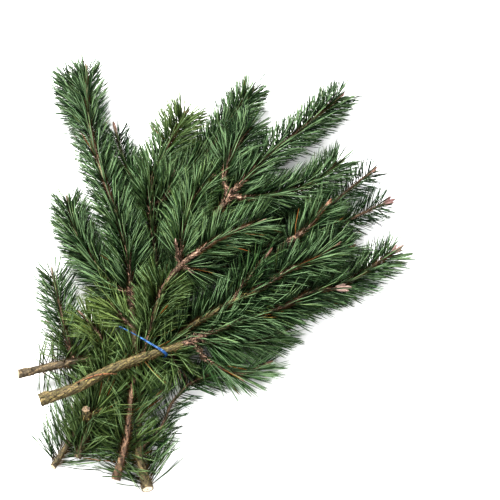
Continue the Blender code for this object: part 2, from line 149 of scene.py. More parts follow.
def ring_faces(rings, corners, closed=False):
    """Faces between rings of corners, and where closed also from the last ring to the first."""
    ring = np.arange(corners)
    after = (ring + 1) % corners
    row = np.arange(rings if closed else rings - 1)[:, None]
    here, there = row * corners, (row + 1) % rings * corners
    return np.stack([here + ring, here + after, there + after, there + ring], -1).reshape(-1, 4)


def skin(rings, corners, spot, closed=False):
    """Such faces and their places on the map. They fill spot, which is x0, y0, x1 and y1."""
    x0, y0, x1, y1 = spot
    rows = rings if closed else rings - 1
    ring = np.arange(corners)
    u = x0 + (x1 - x0) * np.stack([ring, ring + 1, ring + 1, ring], -1) / corners
    v = y0 + (y1 - y0) * (np.arange(rows)[:, None] + np.array([0, 0, 1, 1])) / rows
    maps = np.stack(np.broadcast_arrays(u, v[:, None]), -1)
    return ring_faces(rings, corners, closed), maps.reshape(-1, 4, 2)


class Twig:
    """An axis through points in centimetres."""

    def __init__(self, name, points, held=False):
        self.name = name
        self.held = held  # whether the tie holds it
        p = np.array(points, float) * CM - MIDDLE
        p = np.vstack([2 * p[0] - p[1], p, 2 * p[-1] - p[-2]])
        t = np.linspace(0, 1, SPAN, endpoint=False)[:, None]
        spans = []
        for a, b, c, d in zip(p, p[1:], p[2:], p[3:]):
            spans.append(0.5 * (2 * b + (c - a) * t + (2 * a - 5 * b + 4 * c - d) * t ** 2
                                + (3 * b - a - 3 * c + d) * t ** 3))
        self.line = np.vstack(spans + [p[-2:-1]])
        steps = np.linalg.norm(np.diff(self.line, axis=0), axis=1)
        self.run = np.concatenate([[0], np.cumsum(steps)])
        self.length = self.run[-1]

    def thicken(self, *wood, end):
        """Gives it wood: distances in cm with radii in mm there, and the radius at the end."""
        self.wood = np.array([*wood, (self.length / CM, end)], float) * (CM, MM)

    def place(self, s):
        return np.stack([np.interp(s, self.run, self.line[:, k]) for k in range(3)], axis=-1)

    def frame(self, s):
        """Point, direction of growth, side and up at each distance s."""
        s = np.asarray(s, float)
        near = 2 * MM
        ahead = self.place(np.minimum(s + near, self.length))
        forward = unit(ahead - self.place(np.maximum(s - near, 0)))
        side = unit(np.cross(forward, UP))
        return self.place(s), forward, side, np.cross(side, forward)

    def radius(self, s):
        return np.interp(s, self.wood[:, 0], self.wood[:, 1])


class Shape:
    """Corners, faces and map of one piece, gathered before its mesh is made."""

    def __init__(self):
        self.corners, self.faces, self.maps, self.kinds = [], [], [], []
        self.values = {}
        self.count = 0

    def add(self, corners, *parts, kind=0, **values):
        """Corners with a value each, and parts of faces: arrays of corner numbers and of places on the map.
        kind is the number of their material."""
        for faces, maps in parts:
            self.faces.append(faces + self.count)
            self.maps.append(maps.reshape(-1, 2))
            self.kinds.append(np.full(len(faces), kind))
        corners = corners.reshape(-1, 3)
        for name, value in values.items():
            self.values.setdefault(name, []).append(value.reshape(len(corners), -1))
        self.corners.append(corners)
        self.count += len(corners)

    def piece(self, name, materials):
        corners = np.concatenate(self.corners)
        sizes = np.concatenate([np.full(len(f), f.shape[1]) for f in self.faces])
        mesh = bpy.data.meshes.new(name)
        mesh.vertices.add(len(corners))
        mesh.vertices.foreach_set("co", corners.ravel())
        mesh.loops.add(int(sizes.sum()))
        mesh.loops.foreach_set("vertex_index", np.concatenate([f.ravel() for f in self.faces]))
        mesh.polygons.add(len(sizes))
        mesh.polygons.foreach_set("loop_start", np.concatenate([[0], np.cumsum(sizes)[:-1]]))
        mesh.polygons.foreach_set("loop_total", sizes)
        mesh.polygons.foreach_set("material_index", np.concatenate(self.kinds))
        mesh.polygons.foreach_set("use_smooth", np.ones(len(sizes), bool))
        mesh.uv_layers.new(name="OFBake").data.foreach_set("uv", np.concatenate(self.maps).ravel())
        for key, parts in self.values.items():
            value = np.concatenate(parts)
            kind, field = ("FLOAT", "value") if value.shape[1] == 1 else ("FLOAT_VECTOR", "vector")
            mesh.attributes.new(key, kind, "POINT").data.foreach_set(field, value.ravel())
        mesh.update()
        mesh.validate()
        for material in materials:
            mesh.materials.append(material)
        made = bpy.data.objects.new(name, mesh)
        bpy.context.scene.collection.objects.link(made)
        return made


# --- materials ---


class Nodes:
    """A material's nodes, made and joined in few words."""

    def __init__(self, name, roughness):
        self.material = bpy.data.materials.new(name)
        self.material.use_nodes = True
        self.tree = self.material.node_tree
        self.surface = self.tree.nodes["Principled BSDF"]
        self.surface.inputs["Roughness"].default_value = roughness

    def new(self, kind, inputs=(), **settings):
        node = self.tree.nodes.new(kind)
        for key, value in settings.items():
            setattr(node, key, value)
        for key, value in dict(inputs).items():
            self.put(value, node.inputs[key])
        return node

    def put(self, value, socket):
        """Joins another node's socket to this one, or sets it to a number or colour."""
        if isinstance(value, bpy.types.NodeSocket):
            self.tree.links.new(value, socket)
        elif hasattr(value, "__len__") and len(value) == 3 and len(socket.default_value) == 4:
            socket.default_value = (*value, 1)
        else:
            socket.default_value = value

    def value(self, name, vector=False):
        """A value that the mesh carries."""
        return self.new("ShaderNodeAttribute", attribute_name=name).outputs["Vector" if vector else "Fac"]

    def math(self, operation, *values):
        return self.new("ShaderNodeMath", dict(enumerate(values)), operation=operation).outputs[0]

    def between(self, share, low, high, a=0.0, b=1.0):
        """Goes smoothly from a to b where share goes from low to high."""
        made = self.new("ShaderNodeMapRange", {"Value": share, "From Min": low, "From Max": high,
                                               "To Min": a, "To Max": b}, interpolation_type="SMOOTHSTEP")
        return made.outputs["Result"]

    def mix(self, share, a, b):
        node = self.new("ShaderNodeMix", data_type="RGBA")
        for value, socket in ((share, node.inputs[0]), (a, node.inputs[6]), (b, node.inputs[7])):
            self.put(value, socket)
        return node.outputs[2]

    def paint(self, under, over, *rise):
        """One colour over another, as much as between gives for the rest."""
        return self.mix(self.between(*rise), under, over)

    def noise(self, scale, detail, rough):
        place = self.new("ShaderNodeTexCoord").outputs["Object"]
        made = self.new("ShaderNodeTexNoise", {"Vector": place, "Scale": scale, "Detail": detail,
                                               "Roughness": rough})
        return made.outputs["Fac"]

    def bump(self, height, strength, distance):
        made = self.new("ShaderNodeBump", {"Height": height, "Strength": strength, "Distance": distance})
        self.tree.links.new(made.outputs["Normal"], self.surface.inputs["Normal"])

    def colour(self, value):
        self.put(value, self.surface.inputs["Base Color"])
        return self.material


def needle_material():
    made = Nodes("pine_needles", 0.34)
    made.surface.inputs["Specular IOR Level"].default_value = 0.14
    tone, age, along = made.value("tone"), made.value("age"), made.value("along")
    edge, dead = made.value("edge"), made.value("dead")
    young = made.mix(tone, (0.0022, 0.0085, 0.0024), (0.062, 0.133, 0.047))
    # The lightest tones turn pale blue green, a painted highlight in place of gloss
    young = made.paint(young, (0.170, 0.242, 0.138), tone, 0.55, 1.0, 0.0, 0.85)
    old = made.mix(tone, (0.060, 0.080, 0.016), (0.205, 0.250, 0.080))
    green = made.mix(age, young, old)
    stripes = made.math("SINE", made.math("MULTIPLY", edge, 26.0))
    pale = made.math("MULTIPLY", made.between(stripes, 0.1, 0.9), 0.30)
    green = made.mix(pale, green, (0.100, 0.165, 0.085))
    # Painted shade, near black towards the root where the needles crowd round the twig, then a dry tip, and a
    # brown sheath round the root
    green = made.paint(green, (0.002, 0.009, 0.002), along, 0.0, 0.6, 0.7, 0.0)
    green = made.paint(green, (0.120, 0.100, 0.035), along, 0.955, 1.0)
    green = made.paint(green, (0.080, 0.050, 0.024), along, 0.055, 0.13, 1.0, 0.0)
    brown = made.mix(tone, (0.130, 0.048, 0.014), (0.270, 0.115, 0.035))
    made.put(made.between(dead, 0, 1, 0.40, 0.65), made.surface.inputs["Roughness"])
    return made.colour(made.mix(dead, green, brown))


def bark_material():
    made = Nodes("pine_bark", 0.78)
    tint = made.value("tint", vector=True)
    groove = made.value("groove")
    fine = made.noise(1400.0, 4.0, 0.65)
    broad = made.noise(120.0, 3.0, 0.6)
    patches = made.noise(460.0, 3.0, 0.7)
    colour = made.mix(made.between(broad, 0.35, 0.7), tint, made.mix(0.25, tint, (0.20, 0.155, 0.085)))
    colour = made.paint(colour, (0.028, 0.016, 0.009), patches, 0.47, 0.62, 0.0, 0.8)
    colour = made.paint(colour, (0.020, 0.012, 0.007), fine, 0.52, 0.75, 0.0, 0.5)
    colour = made.paint(colour, (0.30, 0.24, 0.155), fine, 0.42, 0.25, 0.0, 0.22)
    made.bump(made.math("ADD", fine, made.math("MULTIPLY", groove, -0.5)), 0.55, 0.4 * MM)
    return made.colour(colour)


def bud_material():
    made = Nodes("pine_bud", 0.5)
    tint = made.value("tint", vector=True)
    fine = made.noise(1700.0, 3.0, 0.6)
    resin = made.noise(420.0, 2.0, 0.5)
    colour = made.paint(tint, (0.42, 0.34, 0.28), resin, 0.56, 0.68, 0.0, 0.6)
    colour = made.paint(colour, (0.05, 0.018, 0.012), fine, 0.55, 0.75, 0.0, 0.5)
    made.bump(fine, 0.4, 0.3 * MM)
    return made.colour(colour)


def cut_material():
    made = Nodes("sawn_pine", 0.7)
    share = made.value("groove")  # from the pith, 0, to the bark, 1
    weathered = made.value("tint")
    fine = made.noise(900.0, 3.0, 0.6)
    wavy = made.math("ADD", share, made.math("MULTIPLY", fine, 0.05))
    wave = made.math("SINE", made.math("MULTIPLY", wavy, 34.0))
    wood = made.mix(made.between(wave, -0.2, 1.0, 0.0, 0.45), (0.68, 0.60, 0.46), (0.52, 0.41, 0.26))
    # The pith, the inner bark and the outer bark
    wood = made.paint(wood, (0.22, 0.12, 0.05), share, 0.10, 0.16, 1.0, 0.0)
    wood = made.paint(wood, (0.20, 0.15, 0.05), share, 0.78, 0.84)
    wood = made.paint(wood, (0.07, 0.045, 0.025), share, 0.86, 0.90)
    wood = made.paint(wood, (0.30, 0.20, 0.10), fine, 0.55, 0.8, 0.0, 0.4)
    wood = made.mix(weathered, wood, (0.175, 0.125, 0.075))
    rough = made.math("MULTIPLY", weathered, made.between(made.noise(330.0, 3.0, 0.7), 0.46, 0.56))
    wood = made.mix(rough, wood, (0.035, 0.024, 0.014))
    made.bump(fine, 0.5, 0.4 * MM)
    return made.colour(wood)


def twine_material():
    made = Nodes("blue_twine", 0.34)
    strand = made.value("groove")
    broad = made.noise(260.0, 2.0, 0.5)
    fine = made.math("SINE", made.math("MULTIPLY", strand, 60.0))
    blue = made.mix(made.between(fine, -0.6, 0.9), (0.002, 0.019, 0.075), (0.018, 0.086, 0.225))
    blue = made.paint(blue, (0.08, 0.21, 0.40), broad, 0.52, 0.68, 0.0, 0.5)
    made.bump(fine, 0.35, 0.25 * MM)
    return made.colour(blue)


# --- wood ---


def leaf_bases(s, angle, cell, around):
    """The pattern of leaf bases on bark: long pillows in slanting rows, each widest and highest near its
    upper end, where its needles stood. Gives a height, 0 in a groove and about 1 on a leaf base, and a
    shade from 0 to 1 that differs from one leaf base to the next."""
    wobble = 0.30 * np.sin(s * 170 + 3 * np.sin(angle)) + 0.22 * np.sin(s * 430 + 2 * angle) \
             + 0.12 * np.sin(s * 910 - 3 * angle)
    u = angle / TURN * around + wobble * 0.5
    v = s / cell + 0.5 * wobble
    p, q = u + v, u - v
    row, column = np.floor(p) - np.floor(q), np.mod(np.floor(p) + np.floor(q), 2 * around)
    shade = np.mod(np.sin(row * 12.99 + column * 78.23) * 437.58, 1)
    p, q = p - np.floor(p) - 0.5, q - np.floor(q) - 0.5
    along, aside = (p - q) / 2, (p + q) / 2
    room = 0.56 - np.abs(along)
    pillow = np.clip(1 - (aside / room) ** 2, 0, 1) ** 0.8
    end = 0.20 + 0.22 * np.mod(shade * 7.3, 1)
    rise = smooth(along, -0.5, end - 0.06) * (1 - smooth(along, end, end + 0.12))
    cracks = 0.14 * np.sin(angle * around * 2.7 + 4 * np.sin(s * 310) + 9 * shade)
    height = 0.3 + 0.9 * rise * (0.55 + 0.45 * np.mod(shade * 3.1, 1))
    return np.clip(pillow * height + cracks * pillow, 0, 1.2), shade


def tube(shape, twig, start, end, bark, spot, cell, around, depth, corners, step, cut=None, weathered=0.0):
    """The wood of a twig between two distances, with leaf bases as long as a cell, so many around it, and
    depth high. It has rings of corners a step apart, and spot is its place on the piece's map. cut is how
    far a sawn end at the start tilts to face up, and weathered how grey brown that has become."""
    rings = max(4, int((end - start) / step))
    s = np.linspace(start, end, rings)
    angle = np.arange(corners) / corners * TURN
    centre, forward, side, up = twig.frame(s)
    height, shade = leaf_bases(s[:, None], angle, cell, around)
    lumps = 1 + 0.05 * np.sin(2 * angle + s[:, None] * 90 + len(twig.name)) \
              + 0.03 * np.sin(3 * angle - s[:, None] * 160)
    radius = (twig.radius(s)[:, None] + depth * (height - 0.6)) * lumps
    out = side[:, None] * np.cos(angle)[:, None] + up[:, None] * np.sin(angle)[:, None]
    points = centre[:, None] + out * radius[..., None]
    if cut is not None:
        near = np.exp(-(s - start) / (5 * MM))[:, None, None]
        above = (points - centre[:, None]) @ UP
        points = points + forward[:, None] * above[..., None] * cut * near
    lift(points, 0.2 * MM)
    # The grooves take the near-black groove colour: their own darker brown with painted shade
    share = smooth(height, 0.22, 0.85)[..., None]
    shade = shade[..., None]
    worn = 0.45 * smooth(shade, 0.66, 0.95)
    ridge = (0.5 + 0.65 * shade) * bark[0] * (1 - worn) + worn * WORN
    tint = (1 - share) * bark[1] + share * ridge
    shape.add(points, skin(rings, corners, spot), kind=IN_BARK, tint=tint, groove=1 - np.clip(height, 0, 1))
    cap(shape, points[0], -forward[0], cut is not None, weathered)
    cap(shape, points[-1], forward[-1])


def cap(shape, rim, out, sawn=False, weathered=0.0):
    """The end inside a rim of corners, facing out: flat, or slightly domed and rough where sawn."""
    middle = rim.mean(0)
    corners = len(rim)
    if np.dot(np.cross(rim[0] - middle, rim[1] - middle), out) < 0:
        rim = rim[::-1]
    points = []
    for share in END_RINGS:
        rough = 0.35 * MM * chance.normal(0, 0.4, (corners, 1)) if share < 1 else 0
        rise = (1 - share) * 0.3 * MM + rough
        points.append(middle + (rim - middle) * share + out * rise * sawn)
    points = np.concatenate([*points, middle[None]])
    groove = np.append(np.repeat(END_RINGS, corners), 0.0)
    ring = np.arange(corners)
    last = len(points) - 1 - corners
    fan = np.stack([last + ring, last + (ring + 1) % corners, np.full(corners, len(points) - 1)], -1)
    quads = ring_faces(len(END_RINGS), corners)
    angle = ring / corners * TURN
    disc = np.stack([np.cos(angle), np.sin(angle)], -1)
    disc = np.concatenate([disc * share for share in END_RINGS] + [np.zeros((1, 2))])
    spots = END_SPOT + disc * END_SIZE
    tint = np.full((len(points), 3), weathered if sawn else PLAIN_END)
    shape.add(points, (quads, spots[quads]), (fan, spots[fan]), kind=IN_CUT if sawn else IN_BARK,
              tint=tint, groove=groove)


def bract_scales(shape, twig, start, end, per_cm, length, slant, colour):
    """Small dry scales that stand off a bare twig: thin, closed and pointed. Their length is in mm, and
    their slant off the twig in degrees."""
    count = max(0, int((end - start) / CM * per_cm))
    if not count:
        return
    s = np.sort(chance.uniform(start, end, count))
    turn = np.arange(count) * GOLDEN + chance.normal(0, 0.3, count)
    centre, forward, side, up = twig.frame(s)
    out = side * np.sin(turn)[:, None] + up * np.cos(turn)[:, None]
    across = np.cross(forward, out)
    slant = (slant + chance.normal(0, 12, count)) * DEGREE
    size = length * MM * chance.uniform(0.6, 1.35, count)
    pointing = forward * np.cos(slant)[:, None] + out * np.sin(slant)[:, None]
    root = centre + out * (twig.radius(s) * 0.92)[:, None]
    wide = across * (0.24 * size)[:, None]
    thick = np.cross(pointing, across) * (0.09 * size)[:, None]
    middle = root + pointing * (size * 0.5)[:, None]
    corners = np.stack([root - wide, root + wide, root + thick * 2,
                        middle - wide * 0.8 + thick, middle + wide * 0.8 + thick,
                        root + pointing * size[:, None] - thick], 1)
    lift(corners, GROUND_GAP)
    pattern = np.array([(0, 1, 4), (0, 4, 3), (3, 4, 5), (0, 2, 1), (1, 2, 4), (2, 3, 4), (0, 3, 2),
                        (3, 5, 4)])
    faces = np.arange(count)[:, None, None] * 6 + pattern
    spots = SCALE_SPOT + np.array([(0, 0), (0.08, 0), (0.04, 0.02), (0.01, 0.05), (0.07, 0.05), (0.04, 0.1)])
    shade = chance.uniform(0.25, 1.0, (count, 1, 1)) ** 1.5 * 2.2
    tint = shade * colour * np.array([0.4, 0.4, 0.5, 1.0, 1.0, 1.5])[:, None]
    maps = np.broadcast_to(spots[pattern], (*faces.shape, 2))
    shape.add(corners, (faces.reshape(-1, 3), maps), tint=tint, groove=np.full(count * 6, 0.2))


def torn_strip(shape, twig, start, end, turn, wide, loose):
    """A strip of torn bark along a stem, loose at its upper end: tapered, thin and closed. start and end in
    cm, turn is its first and last place in degrees up from the stem's right side, wide and loose, which is
    how far its upper end stands off, are in mm."""
    rings = 16
    s = np.linspace(start, end, rings) * CM
    t = np.linspace(0, 1, rings)[:, None]
    centre, forward, side, up = twig.frame(s)
    angle = (turn[0] + (turn[1] - turn[0]) * t ** 2) * DEGREE
    out = side * np.cos(angle) + up * np.sin(angle)
    across = np.cross(forward, out)
    line = centre + out * (twig.radius(s)[:, None] + (0.2 + loose * t ** 3) * MM)
    half = across * (wide * (0.35 + 0.65 * np.sin(t * 2.7)) * MM / 2)
    thick = out * 0.9 * MM
    rows = np.stack([line - half, line + thick, line + half, line - thick], 1)
    ends = [[3, 2, 1, 0], np.arange(4) + (rings - 1) * 4]
    maps = np.array([[0, 0], [0.02, 0], [0.02, 0.05], [0, 0.05]]) + SCALE_SPOT
    shade = chance.uniform(0.7, 1.2, (rings, 4, 1))
    faces = np.concatenate([ring_faces(rings, 4), ends])
    shape.add(rows, (faces, np.broadcast_to(maps, (*faces.shape, 2))), tint=shade * TORN,
              groove=np.full(rings * 4, 0.2))


def bud(shape, root, forward, length, wide, colours):
    """A pointed bud of overlapping scales."""
    rings, corners = len(BUD_PROFILE), 16
    side = unit(np.cross(forward, UP))
    up = np.cross(side, forward)
    t = np.linspace(0, 1, rings)
    angle = np.arange(corners) / corners * TURN
    height = leaf_bases(t[:, None] * BUD_ROWS * BUD_SCALE * MM, angle, BUD_SCALE * MM, 6)[0]
    radius = wide / 2 * BUD_PROFILE[:, None] * (0.88 + 0.22 * height)
    out = side * np.cos(angle)[:, None] + up * np.sin(angle)[:, None]
    points = root + forward * (t * length)[:, None, None] + out * radius[..., None]
    lift(points, GROUND_GAP)
    share = smooth(height, 0.1, 0.8)[..., None]
    tint = (1 - share) * colours[1] + share * colours[0]
    shape.add(points, skin(rings, corners, BUD_SPOT), kind=IN_BUD, tint=tint, groove=1 - height)
    cap(shape, points[0], -forward)
    cap(shape, points[-1], forward)


def buds_at_end(shape, twig, count, size, colours):
    """A terminal bud, size mm long, and smaller ones round it."""
    root, forward, side, up = (v[0] for v in twig.frame([twig.length]))
    wide = max(1.8 * twig.radius(twig.length), 0.28 * size * MM)
    bud(shape, root - forward * 1.5 * MM, forward, size * MM, wide, colours)
    slant = 20 * DEGREE
    for k in range(count - 1):
        turn = k * TURN / max(1, count - 1) + 0.6
        aside = side * math.cos(turn) + up * math.sin(turn)
        pointing = forward * math.cos(slant) + aside * math.sin(slant)
        start = root - forward * 3 * MM + aside * wide * 0.45
        bud(shape, start, pointing, size * MM * chance.uniform(0.6, 0.85), wide * 0.78, colours)


# --- needles ---


class Obstacles:
    """The wood that needles bend round."""

    def __init__(self, twigs):
        self.radii, self.owners = [], []
        centres = []
        for k, twig in enumerate(twigs):
            s = np.arange(0, twig.length, 3 * MM)
            centres += list(twig.place(s))
            self.radii += list(twig.radius(s))
            self.owners += [k] * len(s)
        self.tree = KDTree(len(centres))
        for i, centre in enumerate(centres):
            self.tree.insert(centre, i)
        self.tree.balance()

    def push(self, point, before, owner):
        """point, or a place just off the bark of another twig that it lies in, on before's side."""
        centre, i, apart = self.tree.find(point)
        keep = self.radii[i] + CLEAR
        if apart >= keep or self.owners[i] == owner:
            return point
        away = Vector(before) - centre
        return centre + away * (keep / max(away.length, 1e-6))


def stand(twig, start, end, per_cm, length, angle, sway, bend, top, age):
    """Roots, directions at root and tip, lengths, ages, directions to the mate and how far on top each
    stands, of the needles along a stretch, in pairs."""
    count = max(2, int((end - start) / CM * per_cm))
    i = np.arange(count)
    s = start + (end - start) * (i + chance.uniform(0.1, 0.9, count)) / count
    turn = i * GOLDEN + chance.normal(0, 0.12, count)
    turn += ASIDE * np.sin(2 * turn)
    centre, forward, side, up = twig.frame(s)
    out = side * np.sin(turn)[:, None] + up * np.cos(turn)[:, None]
    lit = out[:, 2]
    root = centre + out * (twig.radius(s) * 0.85)[:, None]
    left = smooth(twig.length - s, 0, 40 * MM)
    slant = angle * (0.78 + 0.22 * left) + chance.normal(0, sway, count)
    if twig.held:
        # The tie presses needles to their stem
        from_tie = root[:, 1] + MIDDLE[1]
        slant = slant * np.maximum(smooth(-from_tie, 4 * MM, 24 * MM), smooth(from_tie, 2 * MM, 10 * MM))
    slant = slant * DEGREE
    first = forward * np.cos(slant)[:, None] + out * np.sin(slant)[:, None]
    size = length * MM * np.clip(chance.normal(1, 0.09, count), 0.6, 1.25) * (0.88 + 0.12 * left)
    rows = []
    for mate in (-1, 1):
        apart = unit(np.cross(first, chance.normal(0, 1, (count, 3))))
        spread = np.abs(chance.normal(1.6, 1.4, count))[:, None] * DEGREE * mate
        start_way = unit(first + apart * spread)
        turned = (bend + chance.normal(0, 6, count))[:, None] * DEGREE
        stray = chance.normal(0, 3, (count, 3)) * DEGREE
        ahead = forward - start_way * (start_way * forward).sum(1, keepdims=True)
        end_way = unit(start_way + ahead * turned + stray + apart * spread * 0.6)
        old = np.clip(age + chance.normal(0, 0.12, count), 0, 1)
        size_here = size * chance.uniform(0.94, 1.06, count)
        rows.append((root, start_way, end_way, size_here, old, apart * mate, lit))
    kept = np.tile((lit < 0.45) | (chance.uniform(0, 1, count) < top), 2)
    return [np.concatenate(columns)[kept] for columns in zip(*rows)]


def grow(shape, owner, stretches, obstacles):
    """Adds the needles of all stretches of a twig to a shape."""
    for twig, start, end, style in stretches:
        standing, shades = STYLES[style][:7], STYLES[style][7:]
        root, first, last, size, old, apart, lit = stand(twig, start, end, *standing)
        count = len(root)
        steps = np.array([*NEEDLE_RINGS, 1.0])[None, :, None]
        line = root[:, None] + size[:, None, None] * (first[:, None] * steps
                                                      + (last - first)[:, None] * steps ** 2 / 2)
        for n in range(count):
            for k in range(1, line.shape[1]):
                line[n, k] = obstacles.push(line[n, k], line[n, k - 1], owner)
        # Needles that would reach into the ground lie on it, the lowest closest to it
        low = line[..., 2] - CLEAR
        line[..., 2] = np.where(low < 0, CLEAR * np.exp(np.maximum(low, -0.2) * 20), line[..., 2])
        way = unit(np.gradient(line, axis=1))
        apart = unit(apart[:, None] - way * (apart[:, None] * way).sum(-1, keepdims=True))
        across = np.cross(way, apart)
        girth = np.array(NEEDLE_GIRTH)[None, :, None] * chance.uniform(0.85, 1.1, (count, 1, 1))
        centre, apart, across = line[:, :-1], apart[:, :-1] * girth, across[:, :-1] * girth
        flat = centre - apart * NEEDLE_THICK * 0.3  # the side that faces the mate
        ring = np.stack([centre + apart * NEEDLE_THICK * 0.6,
                         flat + across * NEEDLE_WIDE / 2, flat - across * NEEDLE_WIDE / 2], 2)
        corners = np.concatenate([ring.reshape(count, -1, 3), line[:, -1:]], 1)
        lift(corners, 0.05 * MM)
        add_needles(shape, corners, old, lit, *shades)


def add_needles(shape, corners, old, lit, darkest, lightest, dying):
    """Needles as three-sided rods with a point. Those of one shade and age share their place on the map.
    lit is -1 where needles hang under the twig, and 1 where they stand on top; those that hang under get a
    darker tone as painted shade."""
    count, per = corners.shape[:2]
    rings = len(NEEDLE_RINGS)
    tone = chance.uniform(0, 1, count)
    tone = np.where(tone < 0.6, 0.55 * tone, 0.5 * tone + 0.5)
    # Painted shade: a needle that hangs under its twig has its tone cut to as little as 0.3 of itself
    tone = (darkest + (lightest - darkest) * tone) * (0.3 + 0.7 * smooth(lit, -0.8, 0.4))
    tone = (TONES * tone * 0.999).astype(int)
    dead = chance.uniform(0, 1, count) < dying
    age = np.where(dead, AGES - 1, np.clip(old * (AGES - 1), 0, AGES - 2).astype(int))
    cell = np.stack([tone / TONES, age / AGES], -1)
    tip = per - 1
    ring = (rings - 1) * 3 + np.arange(3)
    sides = ring_faces(rings, 3)
    point = np.concatenate([np.stack([ring, np.roll(ring, -1), np.full(3, tip)], -1), [[0, 2, 1]]])
    # In the cell, the three sides stand next to one another, and the end at the root lies below them
    height = [0.1 + 0.8 * t for t in (*NEEDLE_RINGS, 1.0)]
    strips = [[0.06 + 0.3 * (side + w) for w in (0, 0.96)] for side in range(3)]
    flat = np.array([[(x0, y0), (x1, y0), (x1, y1), (x0, y1)]
                     for y0, y1 in zip(height, height[1:rings]) for x0, x1 in strips])
    ends = np.array([[(0.06 + 0.3 * side, height[-2]), (0.35 + 0.3 * side, height[-2]),
                      (0.2 + 0.3 * side, height[-1])] for side in range(3)]
                    + [[(0.1, 0.02), (0.5, 0.08), (0.9, 0.02)]])
    first = np.arange(count)[:, None, None] * per
    size = np.array([1 / TONES, 1 / AGES])
    side_maps, end_maps = (cell[:, None, None] + part * size for part in (flat, ends))
    shape.add(corners, ((first + sides).reshape(-1, 4), side_maps), ((first + point).reshape(-1, 3), end_maps),
              tone=np.repeat(tone / (TONES - 1), per),
              age=np.repeat(np.minimum(age / (AGES - 2), 1.0), per),
              dead=np.repeat((age == AGES - 1).astype(float), per),
              along=np.tile([*np.repeat(NEEDLE_RINGS, 3), 1.0], count),
              edge=np.tile([*np.tile([1.0, 0.0, 0.0], rings), 0.5], count))


# --- branches ---


BUDS = (1, 14, BUD)  # at the end of a shoot where it says no more: number, length in mm and colours
END = 99  # a distance past the end of any shoot
FORK = None  # the first point of a side shoot that starts at the fork of its main axis


class Branch:
    """A main axis, split at its fork into stem and leader, and its side shoots. cut is how far the sawn
    end tilts to face up, and how weathered it is. wood is a list of radii in mm at distances in cm from the
    cut, then the radii below the fork, at the leader's start and at its end. Needles are stretches of a
    style, in cm from the start of the stem, of the leader or of the side shoot. A side shoot is its name,
    points, first and last radius, needles and buds."""

    def __init__(self, name, bark, cut, fork, axis, wood, stem, leader, buds, sides, torn=()):
        self.name, self.bark, self.cut, self.torn = name, bark, cut, torn
        main = Twig(name, axis, held=True)
        self.fork = at = main.run[fork * SPAN] / CM
        radii, below, above, last = wood
        # The wood swells at the fork
        main.thicken(*radii, (at - 2, below), (at - 0.5, below * 1.2), (at, below * 1.2),
                     (at + 0.9, above * 1.15), (at + 1.8, above), end=last)
        self.twigs = [main]
        self.stretches = [[*stem, *((at + a, at + b, style) for a, b, style in leader)]]
        for side, points, (first, last), needles, *_ in sides:
            twig = Twig(f"{name}_{side}", [axis[fork] if point is FORK else point for point in points])
            twig.thicken((0, first), end=last)
            self.twigs.append(twig)
            self.stretches.append(needles)
        self.buds = [(*some, *BUDS[len(some):]) for some in (buds, *(side[4:] for side in sides))]


